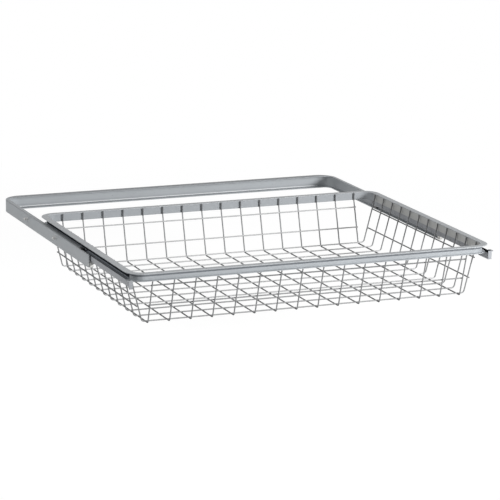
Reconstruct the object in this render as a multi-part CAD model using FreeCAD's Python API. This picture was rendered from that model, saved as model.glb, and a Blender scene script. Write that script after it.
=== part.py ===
"""Pull-out frame: a U-shaped channel frame with a wire basket on two roller rails.

Millimetres. X runs across the frame, +Y to its back bar, +Z up; pulling out moves along -Y.
The origin lies midway between the four fixing pegs, at the height of the pegs.
The basket is built pulled out by pull_at_rest from where it stands when it is pushed in.
"""
import FreeCAD
import Part
import math
import os

# Outer frame: one C-channel bent to a U, open inwards
frame_width = 605.0
frame_depth = 460.0
frame_height = 21.0
frame_sheet = 1.5
frame_corner_radius = 30.0
frame_edge_radius = 1.0
arm_flange = 6.0
bar_top_flange = 13.5
bar_bottom_flange = 12.0
bar_inner_radius = 12.0
arm_nose_radius = 6.0
top_flange_setback = 40.5

# Fixing pegs: plastic studs that stand out of each arm's web
peg_spacing = 150.0
peg_to_back = 148.4
peg_height = 13.5
peg_diameter = 4.8
peg_reach = 6.5
peg_neck_diameter = 4.0
peg_head_diameter = 7.0
peg_head = 0.9
peg_chamfer = 0.8

# Front rollers, on axles at the arms' front ends, under the rails
front_roller_diameter = 9.8
front_roller_width = 5.5
front_roller_setback = 3.0
front_axle_diameter = 3.0
front_head_diameter = 5.0
roller_ground_gap = 0.1
roller_web_gap = 0.4
roller_lip_gap = 0.5
roller_floor_gap = 0.2

# Rear rollers, on the rails' rear ends, inside the channel
rear_roller_setback = 12.0
rear_roller_gap = 0.2
rear_roller_side_gap = 1.0
rear_axle_diameter = 4.0
rear_head_diameter = 6.4
axle_head = 0.6
axle_play = 0.05
roller_chamfer = 0.5

# Rails: an open trough with a lip hanging inside the front rollers
rail_length = 440.0
rail_sheet = 1.2
rail_web_gap = 1.8
rail_top_gap = 0.6
rail_inner_rise = 6.4
rail_lip_drop = 3.3
rail_bend_radius = 1.6
rail_nose = 10.5
ear_reach = 3.1
pull_at_rest = 165.0
travel_stop_gap = 0.3

# Stop clips: plastic, on the front ends of the arms' top flanges
clip_length = 7.0
clip_cap = 1.6
clip_lug_width = 2.1
clip_lug_drop = 4.0
clip_side = 0.9
fit_gap = 0.05
tolerance = 1e-6

# Basket rim: a folded steel ring that hangs on the rails' inner walls
rim_front_overhang = 5.0
rim_back_overhang = 6.0
rim_height = 13.0
rim_sheet = 1.2
rim_corner_radius = 27.0
rim_flange_reach = 8.4
rim_inner_reach = 1.0
rim_foot_reach = 4.4
rim_edge_radius = 0.7
rim_seat_gap = 0.2

# Basket mesh: one flat welded mesh, folded up on four sides
basket_height = 84.6
lengthwise_count = 16
crosswise_count = 12
wire_diameter = 2.1
weld_gap = 0.05
end_taper = 21.3
side_taper = 19.5
end_margin = 3.5
side_margin = 8.5
lengthwise_bend = 4.0
crosswise_bend = 5.0
knee_bend = 8.0
side_knee_rise = 8.0
lower_wall_wire = 27.0
upper_wall_wire = 59.6
front_wires_higher = 1.6
side_lower_wire = 26.1
side_upper_wire = 57.9
wire_end_stub = 1.4
wire_top_drop = 0.8

# Heights and depths that follow from the sizes above
frame_bottom = -peg_height
frame_top = frame_bottom + frame_height
back_y = peg_spacing / 2 + peg_to_back
arm_front_y = back_y - frame_depth
flange_front_y = arm_front_y + top_flange_setback
web_outer_x = frame_width / 2
web_inner_x = web_outer_x - frame_sheet
channel_bottom = frame_bottom + frame_sheet
channel_top = frame_top - frame_sheet

front_roller_radius = front_roller_diameter / 2
front_roller_z = frame_bottom + roller_ground_gap + front_roller_radius
front_roller_y = arm_front_y + front_roller_setback
front_roller_outer_x = web_inner_x - roller_web_gap
front_roller_inner_x = front_roller_outer_x - front_roller_width

rail_floor_z = front_roller_z + front_roller_radius + roller_floor_gap
rail_inner_top = rail_floor_z + rail_inner_rise
rail_outer_top = channel_top - rail_top_gap
rail_lip_z = rail_floor_z - rail_lip_drop
rail_outer_x = web_inner_x - rail_web_gap
rail_wall_x = front_roller_inner_x - roller_lip_gap
rail_inner_x = rail_wall_x - rail_sheet
rail_front_y = arm_front_y - rail_nose - pull_at_rest
rail_back_y = rail_front_y + rail_length
ear_back_y = arm_front_y - pull_at_rest - travel_stop_gap
ear_top = rail_outer_top + rail_sheet

rear_roller_radius = (channel_top - channel_bottom) / 2 - rear_roller_gap
rear_roller_z = (channel_top + channel_bottom) / 2
rear_roller_y = rail_back_y - rear_roller_setback
rear_roller_inner_x = rail_wall_x + rear_roller_side_gap
rear_roller_outer_x = rail_outer_x
trough_back_y = rear_roller_y - rear_roller_radius - 2 * rear_roller_side_gap

clip_back_y = flange_front_y + clip_length
clip_inner_x = web_outer_x - arm_flange - clip_side
clip_lug_z = channel_top - clip_lug_drop

rim_half_width = rail_outer_x
rim_front_y = rail_front_y - rim_front_overhang
rim_back_y = rail_back_y + rim_back_overhang
rim_bottom = rail_inner_top + rim_seat_gap
rim_top = rim_bottom + rim_height
rim_under = rim_top - rim_sheet

wire_radius = wire_diameter / 2
lengthwise_z = rim_top - basket_height + wire_radius
crosswise_z = lengthwise_z + wire_diameter + weld_gap
wire_top = rim_top - wire_top_drop
wire_inset = rim_flange_reach + rim_sheet + rim_inner_reach + weld_gap + wire_radius
wall_x = rim_half_width - wire_inset
wall_front_y = rim_front_y + wire_inset
wall_back_y = rim_back_y - wire_inset
knee_z = rim_bottom
side_knee_z = rim_bottom + side_knee_rise
fold_x = wall_x - side_taper
fold_front_y = wall_front_y + end_taper
fold_back_y = wall_back_y - end_taper
mesh_front_y = fold_front_y + end_margin
mesh_back_y = fold_back_y - end_margin
mesh_x = fold_x - side_margin
lengthwise_pitch = 2 * mesh_x / (lengthwise_count - 1)
crosswise_pitch = (mesh_back_y - mesh_front_y) / (crosswise_count - 1)


def vec(x, y, z):
    return FreeCAD.Vector(x, y, z)


def box(x0, x1, y0, y1, z0, z1):
    """A box between two corners."""
    return Part.makeBox(x1 - x0, y1 - y0, z1 - z0, vec(x0, y0, z0))


def mirrored(shape):
    """The other side's piece, across the middle plane."""
    return shape.mirror(vec(0, 0, 0), vec(1, 0, 0))


def rod(radius, x0, x1, y, z):
    """A round bar along X."""
    return Part.makeCylinder(radius, x1 - x0, vec(x0, y, z), vec(1, 0, 0))


def rounded_path(points, radii):
    """A wire through the points, with an arc of the given radius at each inner point."""
    edges = []
    start = points[0]
    for corner, after, radius in zip(points[1:-1], points[2:], radii):
        arriving = (corner - start).normalize()
        leaving = (after - corner).normalize()
        turn = arriving.getAngle(leaving)
        tangent = radius * math.tan(turn / 2)
        first = corner - arriving * tangent
        last = corner + leaving * tangent
        bisector = (leaving - arriving).normalize()
        middle = corner + bisector * (radius / math.cos(turn / 2) - radius)
        edges.append(Part.LineSegment(start, first).toShape())
        edges.append(Part.Arc(first, middle, last).toShape())
        start = last
    edges.append(Part.LineSegment(start, points[-1]).toShape())
    return Part.Wire(edges)


def rounded_rectangle(half_x, y0, y1, radius, z):
    """A closed rounded rectangle at one height, begun in the middle of its front side."""
    start = vec(0, y0, z)
    corners = [vec(half_x, y0, z), vec(half_x, y1, z), vec(-half_x, y1, z), vec(-half_x, y0, z)]
    return rounded_path([start] + corners + [start], [radius] * 4)


def level_edges(shape, height):
    """The edges of a shape that lie flat at one height."""
    return [edge for edge in shape.Edges
            if abs(edge.BoundBox.ZMin - height) < tolerance and abs(edge.BoundBox.ZMax - height) < tolerance]


def frame_outline(inset, radius, z):
    """The three sides of a U, moved in from the frame's outside, from the right arm to the left."""
    x = web_outer_x - inset
    back = back_y - inset
    corners = [vec(x, arm_front_y, z), vec(x, back, z), vec(-x, back, z), vec(-x, arm_front_y, z)]
    return rounded_path(corners, [radius] * 2)


def u_plate(arm_width, bar_width, inner_radius, z0, z1):
    """A U-shaped plate as wide as the arms' and the bar's parts of one layer of the channel."""
    outer = frame_outline(0, frame_corner_radius, z0)
    inner = frame_outline(arm_width, inner_radius, z0)
    inner.translate(vec(0, arm_width - bar_width, 0))
    filled = Part.Face(closed(outer)).extrude(vec(0, 0, z1 - z0))
    opening = Part.Face(closed(inner)).extrude(vec(0, 0, z1 - z0))
    in_front = box(arm_width - web_outer_x, web_outer_x - arm_width, arm_front_y - bar_width,
                   arm_front_y + inner_radius, z0, z1)
    return filled.cut([opening, in_front])


def closed(path):
    """An open path with a straight line between its ends."""
    ends = Part.makeLine(path.OrderedVertexes[-1].Point, path.OrderedVertexes[0].Point)
    return Part.Wire(path.OrderedEdges + [ends])


def make_outer_frame():
    """The U-shaped channel with its peg and axle holes and its cut-back front ends."""
    web = u_plate(frame_sheet, frame_sheet, frame_corner_radius - frame_sheet, frame_bottom, frame_top)
    upper = u_plate(arm_flange, bar_top_flange, bar_inner_radius, channel_top, frame_top)
    lower = u_plate(arm_flange, bar_bottom_flange, bar_inner_radius, frame_bottom, channel_bottom)
    lower_front_y = front_roller_y + front_roller_radius + 3 * roller_web_gap
    upper = upper.cut(box(-web_inner_x, web_inner_x, arm_front_y, flange_front_y, channel_top, frame_top))
    lower = lower.cut(box(-web_inner_x, web_inner_x, arm_front_y, lower_front_y, frame_bottom, channel_bottom))
    envelope = Part.Face(closed(frame_outline(0, frame_corner_radius, frame_bottom)))
    envelope = envelope.extrude(vec(0, 0, frame_height))
    bends = [edge for edge in level_edges(envelope, frame_top) + level_edges(envelope, frame_bottom)
             if edge.BoundBox.YMax > arm_front_y + tolerance]
    channel = web.fuse([upper, lower]).common(envelope.makeFillet(frame_edge_radius, bends))
    for peg_y in (-peg_spacing / 2, peg_spacing / 2):
        hole = rod(peg_neck_diameter / 2, clip_inner_x, web_outer_x, peg_y, 0)
        channel = channel.cut([hole, mirrored(hole)])
    axle_hole = rod(front_axle_diameter / 2, clip_inner_x, web_outer_x, front_roller_y, front_roller_z)
    nose = nose_corner()
    return channel.cut([axle_hole, mirrored(axle_hole), nose, mirrored(nose)]).removeSplitter()


def nose_corner():
    """What is cut away to round the lower front corner of the right arm's web."""
    centre_y = arm_front_y + arm_nose_radius
    centre_z = frame_bottom + arm_nose_radius
    block = box(clip_inner_x, web_outer_x, arm_front_y, centre_y, frame_bottom, centre_z)
    return block.cut(rod(arm_nose_radius, clip_inner_x, web_outer_x, centre_y, centre_z))


def make_peg(y):
    """A plastic stud outside the right arm's web, with its neck and its head inside."""
    stud = rod(peg_diameter / 2, web_outer_x, web_outer_x + peg_reach, y, 0)
    tip = [edge for edge in stud.Edges if edge.BoundBox.XMin > web_outer_x + peg_reach - tolerance]
    stud = stud.makeChamfer(peg_chamfer, tip)
    neck = rod(peg_neck_diameter / 2, web_inner_x, web_outer_x, y, 0)
    head = rod(peg_head_diameter / 2, web_inner_x - peg_head, web_inner_x, y, 0)
    return stud.fuse([neck, head]).removeSplitter()


def make_roller(radius, inner_x, outer_x, bore, head, head_at_inner, y, z):
    """A nylon roller with chamfered rims, a bore and a recess for its axle's head."""
    body = rod(radius, inner_x, outer_x, y, z)
    rims = [edge for edge in body.Edges if edge.BoundBox.XLength < tolerance]
    body = body.makeChamfer(roller_chamfer, rims)
    body = body.cut(rod(bore / 2 + axle_play, inner_x - 1, outer_x + 1, y, z))
    depth = axle_head + axle_play * 4
    recess_start = inner_x if head_at_inner else outer_x - depth
    return body.cut(rod(head / 2 + axle_play * 4, recess_start, recess_start + depth, y, z))


def make_front_roller():
    return make_roller(front_roller_radius, front_roller_inner_x, front_roller_outer_x,
                       front_axle_diameter, front_head_diameter, True, front_roller_y, front_roller_z)


def make_front_axle():
    """A flush rivet: its head in the roller's recess, its shank in the arm's web."""
    head_x = front_roller_inner_x + axle_play
    head = rod(front_head_diameter / 2, head_x, head_x + axle_head, front_roller_y, front_roller_z)
    shank = rod(front_axle_diameter / 2, head_x, web_outer_x, front_roller_y, front_roller_z)
    return head.fuse(shank).removeSplitter()


def make_rear_roller():
    return make_roller(rear_roller_radius, rear_roller_inner_x, rear_roller_outer_x,
                       rear_axle_diameter, rear_head_diameter, False, rear_roller_y, rear_roller_z)


def make_rear_axle():
    """A rivet through the rail's inner wall, with a head on each side."""
    inner = rod(rear_head_diameter / 2, rail_inner_x - axle_head, rail_inner_x, rear_roller_y, rear_roller_z)
    outer_end = rear_roller_outer_x - axle_play
    outer = rod(rear_head_diameter / 2, outer_end - axle_head, outer_end, rear_roller_y, rear_roller_z)
    shank = rod(rear_axle_diameter / 2, rail_inner_x - axle_head, outer_end, rear_roller_y, rear_roller_z)
    return shank.fuse([inner, outer]).removeSplitter()


def make_rail():
    """A trough whose inner wall hangs below the floor as a lip and runs on to the rear axle."""
    inner_face_x = rail_outer_x - rail_sheet
    floor_top = rail_floor_z + rail_sheet
    wall = box(rail_inner_x, rail_wall_x, rail_front_y, rail_back_y, rail_lip_z, rail_inner_top)
    floor = box(rail_inner_x, rail_outer_x, rail_front_y, trough_back_y, rail_floor_z, floor_top)
    outer = box(inner_face_x, rail_outer_x, rail_front_y, trough_back_y, rail_floor_z, rail_outer_top)
    trough = wall.fuse([floor, outer]).removeSplitter()
    lower_bend = [edge for edge in trough.Edges
                  if edge.BoundBox.XMin > rail_outer_x - tolerance and edge.BoundBox.ZMax < rail_floor_z + tolerance]
    trough = trough.makeFillet(rail_bend_radius, lower_bend)
    plate = box(rail_inner_x, rail_outer_x, rail_front_y, rail_front_y + rail_sheet, rail_lip_z, ear_top)
    corner = [edge for edge in plate.Edges
              if edge.BoundBox.XMin > rail_outer_x - tolerance and edge.BoundBox.YMax < rail_front_y + tolerance]
    plate = plate.makeFillet(rail_sheet / 2, corner)
    ear = box(inner_face_x, rail_outer_x + ear_reach, rail_front_y, ear_back_y, rail_outer_top, ear_top)
    tip = [edge for edge in ear.Edges
           if edge.BoundBox.XMin > rail_outer_x and edge.BoundBox.ZLength > rail_sheet / 2
           and edge.BoundBox.YMax < rail_front_y + tolerance]
    ear = ear.makeFillet(rail_sheet, tip)
    rail = trough.fuse([plate, ear]).removeSplitter()
    tail = [edge for edge in rail.Edges
            if edge.BoundBox.YMin > rail_back_y - tolerance and edge.BoundBox.YLength < tolerance
            and edge.BoundBox.ZLength < tolerance]
    rail = rail.makeFillet(rail_bend_radius, tail)
    return rail.cut(rod(rear_axle_diameter / 2, rail_inner_x - 1, rail_wall_x + 1, rear_roller_y, rear_roller_z))


def make_stop_clip():
    """A plastic clip over the flange's front end, whose lug stops the rear roller."""
    y0 = flange_front_y - clip_cap
    under_flange = channel_top - fit_gap
    over_flange = frame_top + fit_gap
    top = frame_top + clip_cap
    beside_flange = web_outer_x - arm_flange - fit_gap
    lid = box(clip_inner_x, web_outer_x - fit_gap * 4, y0, clip_back_y, over_flange, top)
    side = box(clip_inner_x, beside_flange, y0, clip_back_y, clip_lug_z, top)
    lug = box(clip_inner_x, clip_inner_x + clip_lug_width, y0, clip_back_y, clip_lug_z, under_flange)
    cap = box(clip_inner_x, web_inner_x - fit_gap * 2, y0, flange_front_y - fit_gap, under_flange, top)
    clip = lid.fuse([side, lug, cap]).removeSplitter()
    upper = [edge for edge in clip.Edges if edge.BoundBox.ZMin > top - tolerance]
    return clip.makeFillet(clip_cap / 3, upper)


def rim_plate(inset, z0, z1):
    """A filled plate with the rim's rounded outline, moved in by inset."""
    outline = rounded_rectangle(rim_half_width - inset, rim_front_y + inset, rim_back_y - inset,
                                rim_corner_radius - inset, z0)
    return Part.Face(outline).extrude(vec(0, 0, z1 - z0))


def rim_ring(outer_inset, inner_inset, z0, z1):
    """A closed ring between two outlines of the rim."""
    return rim_plate(outer_inset, z0, z1).cut(rim_plate(inner_inset, z0, z1))


def make_rim():
    """The rim: a top flange, a web under it, and a foot that sits on the rails."""
    web_inset = rim_flange_reach
    web_inner = web_inset + rim_sheet
    flange = rim_ring(0, web_inner + rim_inner_reach, rim_under, rim_top)
    web = rim_ring(web_inset, web_inner, rim_bottom, rim_under)
    foot = rim_ring(web_inset - rim_foot_reach, web_inner, rim_bottom, rim_bottom + rim_sheet)
    envelope = rim_plate(0, rim_bottom, rim_top)
    envelope = envelope.makeFillet(rim_edge_radius, level_edges(envelope, rim_top))
    return flange.fuse([web, foot]).common(envelope).removeSplitter()


def make_wire(points, radii):
    """A round wire along a path of straight runs and arcs."""
    path = rounded_path(points, radii)
    along = (points[1] - points[0]).normalize()
    section = Part.Wire([Part.makeCircle(wire_radius, points[0], along)])
    return path.makePipeShell([section], True, False)


def make_lengthwise_wire(x):
    """A wire from the front rim, under the basket, to the back rim."""
    points = [vec(x, wall_front_y, wire_top), vec(x, wall_front_y, knee_z), vec(x, fold_front_y, lengthwise_z),
              vec(x, fold_back_y, lengthwise_z), vec(x, wall_back_y, knee_z), vec(x, wall_back_y, wire_top)]
    return make_wire(points, [knee_bend, lengthwise_bend, lengthwise_bend, knee_bend])


def make_crosswise_wire(y):
    """A wire from the left rim, over the lengthwise wires, to the right rim."""
    points = [vec(-wall_x, y, wire_top), vec(-wall_x, y, side_knee_z), vec(-fold_x, y, crosswise_z),
              vec(fold_x, y, crosswise_z), vec(wall_x, y, side_knee_z), vec(wall_x, y, wire_top)]
    return make_wire(points, [knee_bend, crosswise_bend, crosswise_bend, knee_bend])


def beside_wall(fold, wall, fold_z, top_z, z, outwards):
    """Where a wall wire runs at height z, one wire outside (1) or inside (-1) the sloping wall."""
    run = wall - fold
    rise = top_z - fold_z
    aside = (wire_diameter + weld_gap) * math.hypot(run, rise) / rise
    return fold + run * (z - fold_z) / rise + math.copysign(aside, run) * outwards


def make_end_wall_wire(fold, wall, height):
    """A crosswise wire inside the front or back wall, at a height over the lowest wires."""
    z = lengthwise_z + height
    y = beside_wall(fold, wall, lengthwise_z, knee_z, z, -1)
    return rod(wire_radius, -mesh_x - wire_end_stub, mesh_x + wire_end_stub, y, z)


def make_side_wall_wire(side, height):
    """A lengthwise wire outside the left or right wall, at a height over the lowest wires."""
    z = lengthwise_z + height
    x = side * beside_wall(fold_x, wall_x, crosswise_z, side_knee_z, z, 1)
    start = mesh_front_y - wire_end_stub
    length = mesh_back_y + wire_end_stub - start
    return Part.makeCylinder(wire_radius, length, vec(x, start, z), vec(0, 1, 0))


def make_parts():
    """Every piece of the pull-out frame, by its name."""
    parts = {"outer_frame": make_outer_frame(), "basket_rim": make_rim()}
    makers = {"front_roller": make_front_roller, "front_axle": make_front_axle, "rear_roller": make_rear_roller,
              "rear_axle": make_rear_axle, "rail": make_rail, "stop_clip": make_stop_clip}
    for name, maker in makers.items():
        piece = maker()
        parts["right_" + name] = piece
        parts["left_" + name] = mirrored(piece)
    for place, y in (("front", -peg_spacing / 2), ("rear", peg_spacing / 2)):
        peg = make_peg(y)
        parts["right_%s_peg" % place] = peg
        parts["left_%s_peg" % place] = mirrored(peg)
    for number in range(lengthwise_count):
        x = number * lengthwise_pitch - mesh_x
        parts["lengthwise_wire_%02d" % (number + 1)] = make_lengthwise_wire(x)
    for number in range(crosswise_count):
        y = mesh_back_y - number * crosswise_pitch
        parts["crosswise_wire_%02d" % (number + 1)] = make_crosswise_wire(y)
    for level, height, side_height in (("lower", lower_wall_wire, side_lower_wire),
                                       ("upper", upper_wall_wire, side_upper_wire)):
        front_height = height + front_wires_higher
        parts["front_wall_wire_" + level] = make_end_wall_wire(fold_front_y, wall_front_y, front_height)
        parts["back_wall_wire_" + level] = make_end_wall_wire(fold_back_y, wall_back_y, height)
        parts["right_wall_wire_" + level] = make_side_wall_wire(1, side_height)
        parts["left_wall_wire_" + level] = make_side_wall_wire(-1, side_height)
    return parts


def opening_travel():
    """How far the rails pull out from rest before the rear rollers meet the stop clips' lugs."""
    above = clip_lug_z - rear_roller_z
    reach = math.sqrt(max(rear_roller_radius ** 2 - above ** 2, 0))
    return rear_roller_y - reach - clip_back_y - travel_stop_gap


os.makedirs("parts", exist_ok=True)
for node, shape in make_parts().items():
    shape.exportStep("parts/%s.step" % node)
print("closing travel %.1f, opening travel %.1f" % (pull_at_rest, opening_travel()))
print("front roller axis y %.3f z %.3f radius %.3f" % (front_roller_y, front_roller_z, front_roller_radius))
print("rear roller axis y %.3f z %.3f radius %.3f" % (rear_roller_y, rear_roller_z, rear_roller_radius))
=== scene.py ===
"""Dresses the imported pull-out frame and its wire basket, and sets the photograph's camera and studio."""

import logging
import math
from dataclasses import dataclass, field, replace
from enum import Enum
from typing import Any

import bmesh
import bpy
from mathutils import Matrix, Vector

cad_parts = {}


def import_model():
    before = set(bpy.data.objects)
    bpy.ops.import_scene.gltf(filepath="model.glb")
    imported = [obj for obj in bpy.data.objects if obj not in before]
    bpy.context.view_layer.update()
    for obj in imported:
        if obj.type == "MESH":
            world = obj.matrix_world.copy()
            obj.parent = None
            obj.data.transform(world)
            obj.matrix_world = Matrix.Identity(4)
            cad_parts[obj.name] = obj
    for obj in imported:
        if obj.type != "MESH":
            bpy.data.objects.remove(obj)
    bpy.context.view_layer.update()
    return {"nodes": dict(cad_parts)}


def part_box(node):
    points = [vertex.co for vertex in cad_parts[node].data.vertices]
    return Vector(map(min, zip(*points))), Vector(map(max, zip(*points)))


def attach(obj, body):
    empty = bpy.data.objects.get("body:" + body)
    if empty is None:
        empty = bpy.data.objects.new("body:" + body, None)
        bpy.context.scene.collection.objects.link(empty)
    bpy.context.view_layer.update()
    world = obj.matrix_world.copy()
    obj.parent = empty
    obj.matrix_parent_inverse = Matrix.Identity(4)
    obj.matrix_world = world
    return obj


Colour = tuple[float, float, float]
Point = tuple[float, float, float]
LOG = logging.getLogger("pull_out_frame")

UNSTRETCHED: Point = (1.0, 1.0, 1.0)
WHITE = (1.0, 1.0, 1.0, 1.0)
ALONG_X = Vector((1.0, 0.0, 0.0))
ALONG_Y = Vector((0.0, 1.0, 0.0))
UPWARDS = Vector((0.0, 0.0, 1.0))

# A noise pattern lies around this value.
NOISE_MIDDLE = 0.5
# The sum of the ray flags passes this as soon as one of them is set.
ANY_RAY = 0.5
# The colour sockets of a Mix node, by number, because all its kinds share their names.
MIX_FACTOR, MIX_FIRST, MIX_SECOND = 0, 6, 7

# A weld bead of radius one: the corners of a ring, its lobes along the wires, and each ring's level and width.
BEAD_CORNERS = 12
BEAD_LOBES = 4
BEAD_LOBE_REACH = 0.2
BEAD_RINGS = ((-0.75, 0.6), (-0.25, 1.0), (0.25, 1.0), (0.75, 0.6))


class Side(Enum):
    """The two sides of the frame, seen from its open front."""

    LEFT = "left"
    RIGHT = "right"


@dataclass(frozen=True)
class Value:
    """A shader socket that carries a number, whose arithmetic adds Math nodes."""

    graph: "Graph"
    socket: bpy.types.NodeSocket

    def __add__(self, other: "Value | float") -> "Value":
        """Adds."""
        return self.graph.math("ADD", self, other)

    def __sub__(self, other: "Value | float") -> "Value":
        """Takes away."""
        return self.graph.math("SUBTRACT", self, other)

    def __rsub__(self, other: float) -> "Value":
        """Takes this value away from a number."""
        return self.graph.math("SUBTRACT", other, self)

    def __mul__(self, other: "Value | float") -> "Value":
        """Multiplies."""
        return self.graph.math("MULTIPLY", self, other)

    def __gt__(self, other: float) -> "Value":
        """One where this value is greater."""
        return self.graph.math("GREATER_THAN", self, other)

    __radd__ = __add__
    __rmul__ = __mul__

    def swing(self, amount: float) -> "Value":
        """This noise, moved to lie around zero and scaled to the given amount."""
        return (self - NOISE_MIDDLE) * amount

    def between(self, low: float, high: float) -> "Value":
        """A smooth step of this value, from 0 at the low number to 1 at the high one."""
        return self.graph.node("ShaderNodeMapRange", "Result", {"interpolation_type": "SMOOTHSTEP"},
                               {"Value": self, "From Min": low, "From Max": high})


class Graph:
    """A new material and its nodes."""

    def __init__(self, name: str) -> None:
        """Makes an empty material.

        Args:
            name: the material's name.
        """
        self.material = bpy.data.materials.new(name)
        self.material.use_nodes = True
        self.tree = self.material.node_tree
        self.tree.nodes.clear()

    def node(self, kind: str, output: str, settings: dict[str, Any], inputs: dict[str | int, Any]) -> Value:
        """Adds one node.

        Args:
            kind: the node's type.
            output: the name of the output that is wanted.
            settings: the node's settings, which are set first.
            inputs: values or links by socket name or number.

        Returns:
            The wanted output.
        """
        made = self.tree.nodes.new(kind)
        for key, setting in settings.items():
            setattr(made, key, setting)
        for key, value in inputs.items():
            if isinstance(value, Value):
                self.tree.links.new(value.socket, made.inputs[key])
            else:
                made.inputs[key].default_value = value
        enabled = [socket for socket in made.outputs if socket.enabled and socket.name == output]
        return Value(self, enabled[0] if enabled else None)

    def math(self, operation: str, first: Value | float, second: Value | float) -> Value:
        """The result of a Math node that works out the operation on two values."""
        return self.node("ShaderNodeMath", "Value", {"operation": operation}, {0: first, 1: second})

    def place(self, scale: Point) -> Value:
        """The point on the object, in metres, stretched along the axes by the scale."""
        point = self.node("ShaderNodeTexCoord", "Object", {}, {})
        return self.node("ShaderNodeMapping", "Vector", {}, {"Vector": point, "Scale": scale})

    def patch(self, zone: "Zone") -> Value:
        """A mask over a box of the frame and over its mirror image.

        Args:
            zone: the box.

        Returns:
            One inside the box and zero outside it.
        """
        point = self.node("ShaderNodeTexCoord", "Object", {}, {})
        x, y, z = (self.node("ShaderNodeSeparateXYZ", axis, {}, {"Vector": point}) for axis in "XYZ")
        mask = self.node("ShaderNodeMath", "Value", {"operation": "ABSOLUTE"}, {0: x})
        mask = self.span(mask, zone.low[0], zone.high[0], zone.fade)
        for value, low, high in ((y, zone.low[1], zone.high[1]), (z, zone.low[2], zone.high[2])):
            mask = mask * self.span(value, low, high, zone.fade)
        return mask

    @staticmethod
    def span(value: Value, low: float, high: float, fade: float) -> Value:
        """One where a value lies between two numbers, and zero from a fade's width outside them."""
        return value.between(low - fade, low) * (1.0 - value.between(high, high + fade))

    def noise(self, point: Value, pattern: "Pattern") -> Value:
        """A noise pattern at a point, a value around NOISE_MIDDLE."""
        return self.node("ShaderNodeTexNoise", "Fac", {},
                         {"Vector": point, "Scale": pattern.scale, "Detail": pattern.detail})

    def blend(self, factor: Value | float, first: Any, second: Any) -> Value:
        """Mixes two colours.

        Args:
            factor: how much of the second colour.
            first: a colour or a link.
            second: a colour or a link.

        Returns:
            The mixed colour.
        """
        def filled(colour: Any) -> Any:
            """The colour with an alpha, if it isn't a link."""
            return colour if isinstance(colour, Value) else (*colour, 1.0)

        return self.node("ShaderNodeMix", "Result", {"data_type": "RGBA"},
                         {MIX_FACTOR: factor, MIX_FIRST: filled(first), MIX_SECOND: filled(second)})

    def bump(self, height: Value, relief: "Relief") -> Value:
        """The normal of a surface on which a pattern stands out."""
        return self.node("ShaderNodeBump", "Normal", {},
                         {"Height": height, "Strength": relief.strength, "Distance": relief.distance})

    def surface(self, **inputs: Any) -> bpy.types.Material:
        """Ends the material with a Principled shader, whose sockets are named with _ for each space."""
        return self.finish(self.principled(**inputs))

    def principled(self, **inputs: Any) -> Value:
        """A Principled shader, whose sockets are named with _ for each space."""
        named = {key.replace("_", " "): value for key, value in inputs.items()}
        return self.node("ShaderNodeBsdfPrincipled", "BSDF", {}, named)

    def finish(self, shader: Value) -> bpy.types.Material:
        """Links a shader to the material's output and gives the material."""
        self.node("ShaderNodeOutputMaterial", "", {}, {"Surface": shader})
        return self.material


def shade(colour: Colour, share: float) -> Colour:
    """A lighter or darker colour.

    Args:
        colour: the colour.
        share: what it is multiplied by.

    Returns:
        The colour, kept within 1.
    """
    red, green, blue = (min(1.0, channel * share) for channel in colour)
    return red, green, blue


@dataclass(frozen=True)
class Pattern:
    """How fine a noise pattern is: its cells in a metre, and how many finer layers it has."""

    scale: float
    detail: float


@dataclass(frozen=True)
class Relief:
    """How much a pattern stands out: its strength, from 0 to 1, and its height in metres."""

    strength: float
    distance: float


@dataclass(frozen=True)
class Zone:
    """A box on the frame's right half, where a coat has another colour, and its mirror image.

    Its corners and its fade are in metres, and its share is how much of the coat's colour goes.
    """

    low: Point
    high: Point
    share: float
    # The default colour is the near black of the seams' painted shade.
    colour: Colour = (0.012, 0.015, 0.020)
    fade: float = 0.0002


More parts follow.
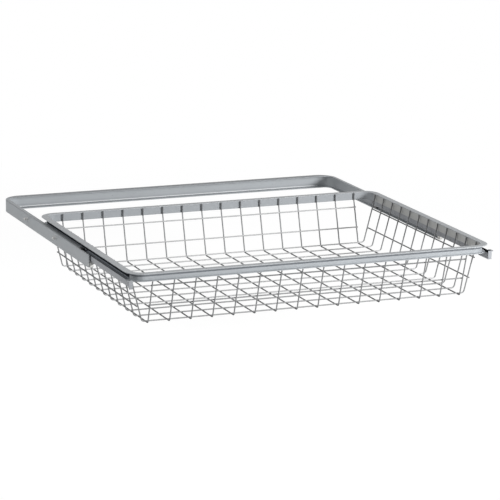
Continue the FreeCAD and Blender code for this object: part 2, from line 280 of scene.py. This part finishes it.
@dataclass(frozen=True)
class SilverCoat:
    """Steel under a satin silver powder coat: fine flakes, faint clouds and rubbed streaks along one axis.

    Its zones are where the coat is given another colour, as painted shade and painted highlights. Its seams
    are narrow places painted near black as shade, which don't shine.
    """

    name: str
    colour: Colour
    metallic: float = 0.12
    roughness: float = 0.52
    specular: float = 0.3
    along: Point = UNSTRETCHED
    clouds: Pattern = Pattern(9.0, 3.0)
    flakes: Pattern = Pattern(2600.0, 2.0)
    streaks: Pattern = Pattern(38.0, 5.0)
    specks: Pattern = Pattern(340.0, 1.0)
    peel: Pattern = Pattern(620.0, 2.0)
    streak_step: tuple[float, float] = (0.56, 0.78)
    speck_step: tuple[float, float] = (0.72, 0.78)
    pale: float = 1.12
    deep: float = 0.86
    dark: float = 0.45
    cloud_tint: float = 0.9
    flake_tint: float = 0.8
    speck_tint: float = 0.35
    cloud_gloss: float = 0.08
    flake_gloss: float = 0.16
    streak_gloss: float = 0.09
    flake_height: float = 0.25
    relief: Relief = Relief(0.18, 0.0002)
    zone_edge: float = 0.2
    seam_edge: float = 0.1
    # The matte, near black shader of the seams' painted shade.
    shade_roughness: float = 0.9
    shade_specular: float = 0.05
    shade_depth: float = 0.5
    zones: tuple[Zone, ...] = ()
    seams: tuple[Zone, ...] = ()

    def material(self) -> bpy.types.Material:
        """Builds the finish.

        Returns:
            Its material.
        """
        graph = Graph(self.name)
        point = graph.place(UNSTRETCHED)
        clouds = graph.noise(point, self.clouds)
        flakes = graph.noise(point, self.flakes)
        streaks = graph.noise(graph.place(self.along), self.streaks).between(*self.streak_step)
        specks = graph.noise(point, self.specks).between(*self.speck_step)
        mixed = clouds.swing(self.cloud_tint) + flakes.swing(self.flake_tint) + NOISE_MIDDLE
        base = graph.blend(mixed, shade(self.colour, self.deep), shade(self.colour, self.pale))
        base = graph.blend(specks * self.speck_tint, base, shade(self.colour, self.dark))
        # Each zone blends in its colour: painted shade or painted light.
        for zone in self.zones:
            wear_and_painted_light = graph.patch(zone) * (clouds.swing(self.zone_edge) + zone.share)
            base = graph.blend(wear_and_painted_light, base, zone.colour)
        rough = self.roughness + flakes.swing(self.flake_gloss) - streaks * self.streak_gloss
        rough = rough + clouds.swing(self.cloud_gloss)
        height = graph.noise(point, self.peel) + flakes * self.flake_height
        normal = graph.bump(height, self.relief)
        shader = graph.principled(Base_Color=base, Metallic=self.metallic, Roughness=rough, Normal=normal,
                                  Specular_IOR_Level=self.specular)
        # Each seam mixes in a matte, near black shader: painted shade in narrow gaps.
        for seam in self.seams:
            shade_tone = graph.blend(flakes, seam.colour, shade(seam.colour, self.shade_depth))
            painted_shade = graph.principled(Base_Color=shade_tone, Roughness=self.shade_roughness, Normal=normal,
                                      Specular_IOR_Level=self.shade_specular)
            filled = graph.patch(seam) * (clouds.swing(self.seam_edge) + seam.share)
            shader = graph.node("ShaderNodeMixShader", "Shader", {}, {0: filled, 1: shader, 2: painted_shade})
        return graph.finish(shader)


@dataclass(frozen=True)
class ZincPlate:
    """Bright zinc on a turned rivet, with rings round its axis and a slight yellow bloom."""

    name: str
    colour: Colour = (0.62, 0.62, 0.60)
    yellowing: Colour = (0.94, 0.9, 0.78)
    metallic: float = 0.9
    roughness: float = 0.28
    bloom: Pattern = Pattern(420.0, 3.0)
    bloom_step: tuple[float, float] = (0.45, 0.7)
    bloom_gloss: float = 0.12
    rings: Pattern = Pattern(90.0, 2.0)
    across_rings: Point = (60.0, 1.0, 1.0)
    ring_gloss: float = 0.2
    relief: Relief = Relief(0.15, 0.0001)

    def material(self) -> bpy.types.Material:
        """Builds the finish.

        Returns:
            Its material.
        """
        graph = Graph(self.name)
        bloom = graph.noise(graph.place(UNSTRETCHED), self.bloom).between(*self.bloom_step)
        rings = graph.noise(graph.place(self.across_rings), self.rings)
        bloomed = tuple(channel * share for channel, share in zip(self.colour, self.yellowing))
        rough = self.roughness + rings.swing(self.ring_gloss) + bloom * self.bloom_gloss
        return graph.surface(Base_Color=graph.blend(bloom, self.colour, bloomed), Metallic=self.metallic,
                             Roughness=rough, Normal=graph.bump(rings, self.relief))


@dataclass(frozen=True)
class MouldedPlastic:
    """Moulded nylon or other plastic: a fine spark grain, with dust or grease where it is handled or rolls."""

    name: str
    colour: Colour
    wear_and_painted_light: Colour
    roughness: float = 0.46
    grain: Pattern = Pattern(1500.0, 3.0)
    grain_gloss: float = 0.14
    soil: Pattern = Pattern(160.0, 4.0)
    soil_step: tuple[float, float] = (0.5, 0.75)
    soil_tint: float = 0.55
    soil_gloss: float = 0.1
    relief: Relief = Relief(0.25, 0.0001)

    def material(self) -> bpy.types.Material:
        """Builds the finish.

        Returns:
            Its material.
        """
        graph = Graph(self.name)
        point = graph.place(UNSTRETCHED)
        grain = graph.noise(point, self.grain)
        soil = graph.noise(point, self.soil).between(*self.soil_step)
        rough = self.roughness + grain.swing(self.grain_gloss) + soil * self.soil_gloss
        return graph.surface(Base_Color=graph.blend(soil * self.soil_tint, self.colour, self.wear_and_painted_light),
                             Roughness=rough, Normal=graph.bump(grain, self.relief))


@dataclass(frozen=True)
class WeldMetal:
    """A resistance weld under the coat: a squeezed bead, a little darker and rougher than the wire."""

    name: str
    colour: Colour
    metallic: float = 0.35
    roughness: float = 0.5
    ripples: Pattern = Pattern(1400.0, 3.0)
    ripple_tint: float = 0.3
    ripple_gloss: float = 0.2
    burns: Pattern = Pattern(55.0, 2.0)
    burn_step: tuple[float, float] = (0.5, 0.7)
    burn_tint: float = 0.6
    burnt: float = 0.7
    relief: Relief = Relief(0.3, 0.0002)

    def material(self) -> bpy.types.Material:
        """Builds the finish.

        Returns:
            Its material.
        """
        graph = Graph(self.name)
        point = graph.place(UNSTRETCHED)
        ripples = graph.noise(point, self.ripples)
        burns = graph.noise(point, self.burns).between(*self.burn_step)
        mixed = burns * self.burn_tint + ripples.swing(self.ripple_tint)
        rough = self.roughness + ripples.swing(self.ripple_gloss)
        return graph.surface(Base_Color=graph.blend(mixed, self.colour, shade(self.colour, self.burnt)),
                             Metallic=self.metallic, Roughness=rough, Normal=graph.bump(ripples, self.relief))


def dress(nodes: dict[str, bpy.types.Object], names: list[str], material: bpy.types.Material) -> None:
    """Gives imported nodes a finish.

    Args:
        nodes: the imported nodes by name.
        names: which of them.
        material: their new material.
    """
    for name in names:
        nodes[name].data.materials.clear()
        nodes[name].data.materials.append(material)


def new_piece(name: str, mesh: bmesh.types.BMesh, material: bpy.types.Material, body: str) -> bpy.types.Object:
    """Turns a built mesh into a piece that rides on a body.

    Args:
        name: the piece's name.
        mesh: its geometry, which is freed.
        material: its finish.
        body: the body it rides on.

    Returns:
        The piece.
    """
    data = bpy.data.meshes.new(name)
    mesh.to_mesh(data)
    mesh.free()
    data.materials.append(material)
    for face in data.polygons:
        face.use_smooth = True
    piece = bpy.data.objects.new(name, data)
    bpy.context.scene.collection.objects.link(piece)
    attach(piece, body)
    return piece


def centre(name: str) -> Vector:
    """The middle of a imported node.

    Args:
        name: the node.

    Returns:
        The middle of its box.
    """
    low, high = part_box(name)
    return (Vector(low) + Vector(high)) / 2


def numbered(name: str, count: int) -> list[str]:
    """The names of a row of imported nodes.

    Args:
        name: what their names begin with.
        count: how many there are.

    Returns:
        The names, from 01 on.
    """
    return ["%s_%02d" % (name, number) for number in range(1, count + 1)]


@dataclass
class OuterFrame:
    """The channel that is fixed in the cabinet, with its pegs and stop clips."""

    coat: SilverCoat = SilverCoat("frame_coat", (0.455, 0.48, 0.50), along=(1.0, 0.06, 1.0))
    clip: MouldedPlastic = MouldedPlastic("clip_plastic", (0.022, 0.022, 0.024), (0.06, 0.06, 0.06))
    peg: MouldedPlastic = MouldedPlastic("peg_plastic", (0.88, 0.88, 0.87), (0.66, 0.65, 0.63))
    sheet: float = 0.0015
    top_flange: float = 0.0135
    bottom_flange: float = 0.012
    # Painted shade in the crease over the bottom flange, on its lip and along the arms' top bend.
    crease_shade: Colour = (0.10, 0.11, 0.12)
    crease_shade_share: float = 0.12
    bend_shade_share: float = 0.3
    # Painted shade on the back bar's top flange.
    top_flange_shade: Colour = (0.20, 0.21, 0.22)
    top_flange_shade_share: float = 0.55
    # A painted highlight on the back bar's bottom flange.
    foot_highlight: Colour = (0.80, 0.81, 0.82)
    foot_highlight_share: float = 0.8

    def build(self, nodes: dict[str, bpy.types.Object]) -> None:
        """Dresses the channel, the clips and the pegs.

        Args:
            nodes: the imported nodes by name.
        """
        sides = [side.value for side in Side]
        dress(nodes, ["outer_frame"], replace(self.coat, zones=self.zones()).material())
        dress(nodes, [side + "_stop_clip" for side in sides], self.clip.material())
        dress(nodes, [side + end + "_peg" for side in sides for end in ("_front", "_rear")],
              self.peg.material())

    def zones(self) -> tuple[Zone, ...]:
        """Where the channel's coat is painted: shade on the back bar's top flange, in creases, on the lip and
        along the top bend, and a highlight on the bottom flange.

        Returns:
            The zones.
        """
        low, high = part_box("outer_frame")
        web_x, web_y = high[0] - self.sheet, high[1] - self.sheet
        floor = low[2] + self.sheet
        front = web_y - self.sheet / 2
        lip_front = high[1] - self.bottom_flange - self.sheet
        # Painted shade on the bar's top flange, in the crease, on the lip and along the bend; painted highlight
        # on the foot.
        upper = Zone((-self.sheet, high[1] - self.top_flange, high[2] - self.sheet / 2), high,
                     self.top_flange_shade_share, self.top_flange_shade)
        foot = Zone((-self.sheet, front, floor), (web_x, web_y, floor + self.sheet),
                    self.foot_highlight_share, self.foot_highlight)
        over_foot = Zone((-self.sheet, front, floor + self.sheet), (web_x, web_y, floor + 3 * self.sheet),
                         self.crease_shade_share, self.crease_shade)
        lip = Zone((-self.sheet, lip_front, low[2]), (web_x, front, floor), self.crease_shade_share, self.crease_shade)
        bend = Zone((high[0] - self.sheet / 2, low[1], high[2] - self.sheet),
                    (high[0], high[1], high[2] - self.sheet / 4), self.bend_shade_share, self.crease_shade)
        return upper, foot, over_foot, lip, bend


@dataclass
class Runners:
    """The rails with their troughs painted dark as shade, their rollers and axles."""

    coat: SilverCoat = SilverCoat("rail_coat", (0.385, 0.40, 0.422), along=(1.0, 0.05, 1.0))
    nylon: MouldedPlastic = MouldedPlastic("nylon", (0.80, 0.80, 0.78), (0.52, 0.50, 0.46))
    # Dark copies of the nylon and the zinc for the rear rollers and axles: painted shade.
    shaded_nylon: MouldedPlastic = MouldedPlastic("shaded_nylon", (0.12, 0.12, 0.125), (0.05, 0.05, 0.05))
    zinc: ZincPlate = ZincPlate("axle_zinc")
    shaded_zinc: ZincPlate = ZincPlate("shaded_axle_zinc", (0.07, 0.07, 0.075))
    sheet: float = 0.0012
    ear_reach: float = 0.0031
    lip_drop: float = 0.0033
    trough_height: float = 0.02
    # The share of the trough's painted shade.
    trough_shade_share: float = 0.88

    def build(self, nodes: dict[str, bpy.types.Object]) -> None:
        """Dresses the rails, rollers and axles.

        Args:
            nodes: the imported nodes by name.
        """
        sides = [side.value for side in Side]
        # The trough seam is painted near black as shade.
        coat = replace(self.coat, seams=(self.trough(),))
        dress(nodes, [side + "_rail" for side in sides], coat.material())
        dress(nodes, [side + "_front_roller" for side in sides], self.nylon.material())
        # The rear rollers and axles take the dark copies: painted shade.
        dress(nodes, [side + "_rear_roller" for side in sides], self.shaded_nylon.material())
        dress(nodes, [side + "_front_axle" for side in sides], self.zinc.material())
        dress(nodes, [side + "_rear_axle" for side in sides], self.shaded_zinc.material())

    def trough(self) -> Zone:
        """The trough's inside, painted near black as shade.

        Returns:
            The zone.
        """
        low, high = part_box("right_rail")
        outer = high[0] - self.ear_reach - self.sheet
        floor = low[2] + self.lip_drop + self.sheet / 2
        return Zone((low[0] + self.sheet / 2, low[1] + self.sheet, floor),
                    (outer + self.sheet / 4, high[1], floor + self.trough_height), self.trough_shade_share)


@dataclass
class Basket:
    """The folded rim and the welded wire mesh."""

    rim: SilverCoat = SilverCoat("rim_coat", (0.443, 0.467, 0.489), along=(0.3, 0.3, 1.0))
    wire: SilverCoat = SilverCoat("wire_coat", (0.31, 0.315, 0.32))
    # Painted light on the back wall's wires, painted shade on the front wall's upper wire and the side walls'
    # wires.
    lit_back_wire: SilverCoat = SilverCoat("lit_back_wire_coat", (0.56, 0.565, 0.57))
    shaded_front_wire: SilverCoat = SilverCoat("shaded_front_wire_coat", (0.22, 0.224, 0.228))
    shaded_side_wire: SilverCoat = SilverCoat("shaded_side_wire_coat", (0.22, 0.225, 0.23))
    # Painted shade on the lengthwise floor wires, darkest at the edges; painted light on the crosswise ones.
    lengthwise_shade: Colour = (0.17, 0.174, 0.178)
    outermost_shade: Colour = (0.11, 0.112, 0.115)
    lit_crosswise: Colour = (0.62, 0.625, 0.63)
    shaded_crosswise: Colour = (0.38, 0.385, 0.39)
    floor_share: float = 0.9
    shaded_crosswise_from: int = 9
    # Painted shadow: the wires' ends by the rim are darkened for the shadows they cast on it.
    wire_end_shadow: Colour = (0.04, 0.045, 0.055)
    wire_end_shadow_share: float = 0.5
    # Painted shade over the rails, on the rim's inside and in a line under the front flange.
    over_rails_shade: Colour = (0.25, 0.27, 0.30)
    over_rails_shade_share: float = 0.85
    # A painted highlight on the rim's top.
    top_highlight: Colour = (0.78, 0.79, 0.80)
    top_highlight_share: float = 0.25
    # Painted light on the side webs' inner faces.
    wear_and_painted_light: Colour = (0.62, 0.62, 0.60)
    side_web_light_share: float = 0.8
    # The painted shade's colour on the rim's inside and in the line under the front flange.
    rim_shade: Colour = (0.10, 0.11, 0.13)
    inside_shade_share: float = 0.11
    shadow_line_share: float = 0.74
    line_depth: float = 0.0048
    line_width: float = 0.0018
    # Painted near black shade under the rim's flange and along its foot over the rails.
    seam_height: float = 0.0026
    seam_share: float = 0.95
    foot_seam_share: float = 0.6
    sheet: float = 0.0012
    flange_reach: float = 0.0084
    foot_reach: float = 0.0044
    rim_corner: float = 0.027
    wire_gap: float = 0.00215
    weld: WeldMetal = WeldMetal("weld_metal", (0.28, 0.285, 0.29))
    bead: Point = (0.0011, 0.0011, 0.0007)
    rim_bead: Point = (0.0012, 0.0008, 0.0009)
    lengthwise: list[str] = field(default_factory=lambda: numbered("lengthwise_wire", 16))
    crosswise: list[str] = field(default_factory=lambda: numbered("crosswise_wire", 12))

    def build(self, nodes: dict[str, bpy.types.Object]) -> None:
        """Dresses the rim and the wires and adds the weld beads.

        Args:
            nodes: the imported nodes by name.
        """
        rim = replace(self.rim, zones=self.rim_zones(), seams=self.rim_seams())
        dress(nodes, ["basket_rim"], rim.material())
        self.dress_floor_wires(nodes)
        self.dress_wall_wires(nodes)
        weld = self.weld.material()
        for name, places in (("bottom_weld_beads", self.bottom_places()),
                             ("wall_weld_beads", self.wall_places()),
                             ("rim_weld_beads", self.rim_places())):
            mesh = bmesh.new()
            for place in places:
                add_bead(mesh, place)
            new_piece(name, mesh, weld, "basket")

    def dress_floor_wires(self, nodes: dict[str, bpy.types.Object]) -> None:
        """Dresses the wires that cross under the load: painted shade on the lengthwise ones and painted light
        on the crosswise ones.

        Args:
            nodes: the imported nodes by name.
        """
        outermost = [self.lengthwise[0], self.lengthwise[-1]]
        lit_crosswise, shaded_crosswise = self.crosswise[:self.shaded_crosswise_from], self.crosswise[self.shaded_crosswise_from:]
        # Each group gets painted light or painted shade as its own copy of the wire coat.
        for coat_name, names, colour in (("lengthwise_coat", self.lengthwise[1:-1], self.lengthwise_shade),
                                         ("outermost_coat", outermost, self.outermost_shade),
                                         ("crosswise_coat", lit_crosswise, self.lit_crosswise),
                                         ("crosswise_front_coat", shaded_crosswise, self.shaded_crosswise)):
            # Every floor wire also gets the painted shadow at its ends by the rim.
            zones = (self.floor_zone(names[0], colour), self.wire_ends())
            dress(nodes, names, replace(self.wire, name=coat_name, zones=zones).material())

    def dress_wall_wires(self, nodes: dict[str, bpy.types.Object]) -> None:
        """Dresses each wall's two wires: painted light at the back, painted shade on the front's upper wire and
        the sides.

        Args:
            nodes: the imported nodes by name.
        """
        levels = ("_wall_wire_lower", "_wall_wire_upper")
        front_lower = replace(self.wire, name="front_lower_coat")
        # Lit and shaded copies of the one wire coat: painted light and painted shade.
        for coat, names in ((self.shaded_front_wire, ["front" + levels[1]]),
                            (front_lower, ["front" + levels[0]]),
                            (self.lit_back_wire, ["back" + level for level in levels]),
                            (self.shaded_side_wire, [side.value + level for side in Side for level in levels])):
            dress(nodes, names, coat.material())

    def rim_zones(self) -> tuple[Zone, ...]:
        """Where the rim's coat differs.

        It has painted shade over the rails, on its inside and in a line along its front under the flange,
        painted light on its side webs' inner faces, and a painted highlight on its top.

        Returns:
            The zones.
        """
        low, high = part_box("basket_rim")
        web = high[0] - self.flange_reach
        under = high[2] - self.sheet
        front, back = low[1] + self.rim_corner, high[1] - self.rim_corner
        inset = self.flange_reach + self.sheet / 2
        line_foot = under - self.line_depth
        # Painted shade over the rails and inside, painted light on the side webs and top, a painted shadow line
        # at the front.
        over_rails = Zone((web - self.sheet / 2, front, low[2] + self.sheet * 0.75),
                          (high[0] - self.sheet, back, under), self.over_rails_shade_share, self.over_rails_shade)
        inside = Zone((-web, low[1] + inset, low[2] - self.sheet),
                      (web - self.sheet / 2, high[1] - inset, under), self.inside_shade_share, self.rim_shade)
        side_web = Zone((web - self.sheet * 1.5, front, low[2] - self.sheet),
                        (web - self.sheet / 2, back, under), self.side_web_light_share, self.wear_and_painted_light)
        top = Zone((-high[0], low[1], under + self.sheet / 2), high, self.top_highlight_share, self.top_highlight)
        line = Zone((-high[0], low[1], line_foot), (high[0], front, line_foot + self.line_width),
                    self.shadow_line_share, self.rim_shade)
        return over_rails, inside, side_web, top, line

    def rim_seams(self) -> tuple[Zone, ...]:
        """Where the rim over the rails is painted near black as shade: under its flange and along its foot.

        Returns:
            The seams.
        """
        low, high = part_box("basket_rim")
        web = high[0] - self.flange_reach
        under = high[2] - self.sheet
        front, back = low[1] + self.rim_corner, high[1] - self.rim_corner
        # Both seams are painted shade.
        upper = Zone((web - self.sheet / 2, front, low[2] + self.seam_height),
                     (high[0] - self.sheet, back, under), self.seam_share)
        foot_edge = Zone((web + self.foot_reach - self.sheet / 4, front, low[2]),
                         (high[0], back, low[2] + self.sheet / 2), self.foot_seam_share)
        return upper, foot_edge

    def floor_zone(self, name: str, colour: Colour) -> Zone:
        """Where a wire and those beside it run along the basket's floor.

        Args:
            name: the wire.
            colour: its colour there, painted shade on lengthwise wires and painted light on crosswise ones.

        Returns:
            The zone.
        """
        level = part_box(name)[0][2]
        low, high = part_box("basket_rim")
        return Zone((-high[0], low[1], level - self.sheet), (high[0], high[1], level + 2 * self.sheet),
                    self.floor_share, colour)

    def wire_ends(self) -> Zone:
        """The zone of the wires' ends by the rim, darkened as a painted shadow of the wires on the rim."""
        low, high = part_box("basket_rim")
        return Zone((-high[0], low[1], low[2]), high, self.wire_end_shadow_share, self.wire_end_shadow)

    def bottom_places(self) -> list[Matrix]:
        """Where the bottom's wires cross.

        Returns:
            One frame for each bead.
        """
        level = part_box(self.lengthwise[0])[0][2] + self.wire_gap
        return [bead_place(Vector((centre(long).x, centre(cross).y, level)), ALONG_X, UPWARDS, self.bead)
                for long in self.lengthwise[1:-1] for cross in self.crosswise]

    def wall_places(self) -> list[Matrix]:
        """Where the walls' wires cross the uprights.

        Returns:
            One frame for each bead.
        """
        places = []
        inside = centre("basket_rim")
        for wall, uprights, along in (("front", self.lengthwise, ALONG_X), ("back", self.lengthwise, ALONG_X),
                                      ("left", self.crosswise, ALONG_Y), ("right", self.crosswise, ALONG_Y)):
            lower, upper = (centre(wall + "_wall_wire_" + level) for level in ("lower", "upper"))
            normal = (upper - lower).cross(along).normalized()
            outwards = normal if normal.dot(lower - inside) > 0.0 else -normal
            towards_upright = outwards if along is ALONG_X else -outwards
            for upright in uprights:
                for middle in (lower, upper):
                    crossing = middle + along * (centre(upright) - middle).dot(along)
                    spot = crossing + towards_upright * (self.wire_gap / 2)
                    places.append(bead_place(spot, along, normal, self.bead))
        return places

    def rim_places(self) -> list[Matrix]:
        """Where the wires' ends are welded to the rim's hem.

        Returns:
            One frame for each bead.
        """
        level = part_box("basket_rim")[1][2] - self.sheet
        places = []
        for name in self.lengthwise:
            low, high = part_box(name)
            places += [bead_place(Vector((centre(name).x, y, level)), ALONG_X, ALONG_Y, self.rim_bead)
                       for y in (low[1], high[1])]
        for name in self.crosswise:
            low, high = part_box(name)
            places += [bead_place(Vector((x, centre(name).y, level)), ALONG_Y, ALONG_X, self.rim_bead)
                       for x in (low[0], high[0])]
        return places


def bead_place(spot: Vector, along: Vector, normal: Vector, size: Point) -> Matrix:
    """The frame of one weld bead.

    Args:
        spot: its middle.
        along: the direction of one of the two wires.
        normal: the direction from one wire to the other.
        size: its half length, half width and half height.

    Returns:
        A matrix that turns a bead of radius one into this one.
    """
    axes = Matrix((along, normal.cross(along), normal)).transposed().to_4x4()
    return Matrix.Translation(spot) @ axes @ Matrix.Diagonal((*size, 1.0))


def add_bead(mesh: bmesh.types.BMesh, place: Matrix) -> None:
    """Adds a bead that is squeezed out between two crossing wires and runs a little way along both.

    Args:
        mesh: the mesh that gets it.
        place: its frame.
    """
    rings = []
    for level, width in BEAD_RINGS:
        ring = []
        for number in range(BEAD_CORNERS):
            angle = math.tau * number / BEAD_CORNERS
            reach = width * (1.0 + BEAD_LOBE_REACH * math.cos(BEAD_LOBES * angle))
            corner = Vector((reach * math.cos(angle), reach * math.sin(angle), level))
            ring.append(mesh.verts.new(place @ corner))
        rings.append(ring)
    for lower, upper in zip(rings, rings[1:]):
        for number in range(BEAD_CORNERS):
            after = (number + 1) % BEAD_CORNERS
            mesh.faces.new((lower[number], lower[after], upper[after], upper[number]))
    mesh.faces.new(tuple(reversed(rings[0])))
    mesh.faces.new(tuple(rings[-1]))


@dataclass
class PhotoCamera:
    """The photograph's camera, as angles about a point, a distance and a shift in a 500 by 500 frame."""

    turn: float = -22.439
    rise: float = 13.091
    roll: float = 0.725
    aim: Vector = field(default_factory=lambda: Vector((0.0, -0.1891, -0.0259)))
    distance: float = 4.21698
    focal: float = 2646.38
    shift: tuple[float, float] = (-9.439, 4.819)
    frame_size: float = 500.0
    sensor: float = 36.0
    clip: tuple[float, float] = (0.1, 60.0)

    def build(self) -> None:
        """Makes the camera and sets it as the scene's."""
        turn, rise, roll = (math.radians(angle) for angle in (self.turn, self.rise, self.roll))
        back = Vector((math.sin(turn) * math.cos(rise), -math.cos(turn) * math.cos(rise), math.sin(rise)))
        right = Vector((math.cos(turn), math.sin(turn), 0.0))
        up = back.cross(right)
        rolled_right = math.cos(roll) * right + math.sin(roll) * up
        rolled_up = math.cos(roll) * up - math.sin(roll) * right
        axes = Matrix((rolled_right, rolled_up, back)).transposed()
        data = bpy.data.cameras.new("photo_camera")
        data.sensor_width = self.sensor
        data.lens = self.focal * self.sensor / self.frame_size
        data.shift_x = self.shift[0] / self.frame_size
        data.shift_y = self.shift[1] / self.frame_size
        data.clip_start, data.clip_end = self.clip
        camera = bpy.data.objects.new("photo_camera", data)
        camera.matrix_world = Matrix.Translation(self.aim + self.distance * back) @ axes.to_4x4()
        bpy.context.scene.collection.objects.link(camera)
        bpy.context.scene.camera = camera


@dataclass(frozen=True)
class Lamp:
    """One soft area lamp that points at the object."""

    name: str
    place: Point
    size: float
    power: float
    aim: Point = (0.0, -0.1, 0.0)

    def build(self) -> None:
        """Makes the lamp."""
        data = bpy.data.lights.new(self.name, "AREA")
        data.shape = "DISK"
        data.size = self.size
        data.energy = self.power
        lamp = bpy.data.objects.new(self.name, data)
        lamp.location = self.place
        lamp.rotation_mode = "QUATERNION"
        lamp.rotation_quaternion = (Vector(self.aim) - Vector(self.place)).to_track_quat("-Z", "Y")
        bpy.context.scene.collection.objects.link(lamp)


@dataclass
class Studio:
    """The white floor and backdrop, the lamps and the sky."""

    floor_height: float = -0.16
    floor_size: float = 12.0
    floor_squares: int = 4
    floor_glow: float = 0.93
    floor_colour: tuple[float, ...] = (0.75, 0.75, 0.75, 1.0)
    shadow_share: tuple[float, ...] = (0.18, 0.18, 0.18, 1.0)
    shadow_reach: tuple[float, float] = (0.45, 1.3)
    sky_level: float = 0.15
    lamps: tuple[Lamp, ...] = (
        Lamp("key_lamp", place=(1.3, -2.1, 0.65), size=0.6, power=50.0),
        Lamp("fill_lamp", place=(-1.6, -0.05, 0.75), size=0.6, power=7.0, aim=(-0.2, -0.1, 0.0)),
    )

    def build(self) -> None:
        """Makes the floor, the sky and the lamps, and sets the view transform."""
        self.add_floor()
        self.add_sky()
        for lamp in self.lamps:
            lamp.build()
        bpy.context.scene.view_settings.view_transform = "Standard"

    def add_floor(self) -> None:
        """A pale floor that is white to the camera, apart from a soft shadow."""
        graph = Graph("studio_floor")
        plain = graph.node("ShaderNodeBsdfDiffuse", "BSDF", {}, {"Color": self.floor_colour})
        glow = graph.node("ShaderNodeEmission", "Emission", {}, {"Color": WHITE, "Strength": self.floor_glow})
        shadowed = graph.node("ShaderNodeBsdfDiffuse", "BSDF", {}, {"Color": self.shadow_share})
        near = graph.node("ShaderNodeAddShader", "Shader", {}, {0: glow, 1: shadowed})
        white = graph.node("ShaderNodeEmission", "Emission", {}, {"Color": WHITE})
        point = graph.node("ShaderNodeTexCoord", "Object", {}, {})
        away = graph.node("ShaderNodeVectorMath", "Value", {"operation": "LENGTH"}, {0: point})
        lit = graph.node("ShaderNodeMixShader", "Shader", {},
                         {0: away.between(*self.shadow_reach), 1: near, 2: white})
        seen = self.seen_directly(graph)
        shader = graph.node("ShaderNodeMixShader", "Shader", {}, {0: seen, 1: plain, 2: lit})
        mesh = bmesh.new()
        squares = self.floor_squares
        bmesh.ops.create_grid(mesh, x_segments=squares, y_segments=squares, size=self.floor_size / 2,
                              matrix=Matrix.Translation((0.0, 0.0, self.floor_height)))
        data = bpy.data.meshes.new("studio_floor")
        mesh.to_mesh(data)
        mesh.free()
        data.materials.append(graph.finish(shader))
        floor = bpy.data.objects.new("studio_floor", data)
        bpy.context.scene.collection.objects.link(floor)

    @staticmethod
    def seen_directly(graph: Graph) -> Value:
        """One for rays from the camera, a gloss or a clear surface.

        Args:
            graph: the material's or the sky's nodes.

        Returns:
            The mask.
        """
        seen = [graph.node("ShaderNodeLightPath", ray, {}, {})
                for ray in ("Is Camera Ray", "Is Glossy Ray", "Is Transmission Ray")]
        return (seen[0] + seen[1] + seen[2]) > ANY_RAY

    def add_sky(self) -> None:
        """A sky that is white to the camera and even light on the object."""
        world = bpy.data.worlds.new("studio_sky")
        bpy.context.scene.world = world
        world.use_nodes = True
        graph = SkyGraph(world)
        seen = self.seen_directly(graph)
        strength = seen * (1.0 - self.sky_level) + self.sky_level
        sky = graph.node("ShaderNodeBackground", "Background", {}, {"Color": WHITE, "Strength": strength})
        graph.node("ShaderNodeOutputWorld", "", {}, {"Surface": sky})


class SkyGraph(Graph):
    """The sky's nodes."""

    def __init__(self, world: bpy.types.World) -> None:
        """Clears a world's nodes and takes them."""
        self.tree = world.node_tree
        self.tree.nodes.clear()


def main() -> None:
    """Loads the frame and builds each part of the scene in order."""
    logging.basicConfig(level=logging.INFO, format="%(name)s: %(message)s")
    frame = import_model()
    for part in (OuterFrame(), Runners(), Basket()):
        part.build(frame["nodes"])
        LOG.info("dressed %s", type(part).__name__)
    Studio().build()
    PhotoCamera().build()
    LOG.info("set the studio and the camera")


if __name__ == "__main__":
    main()
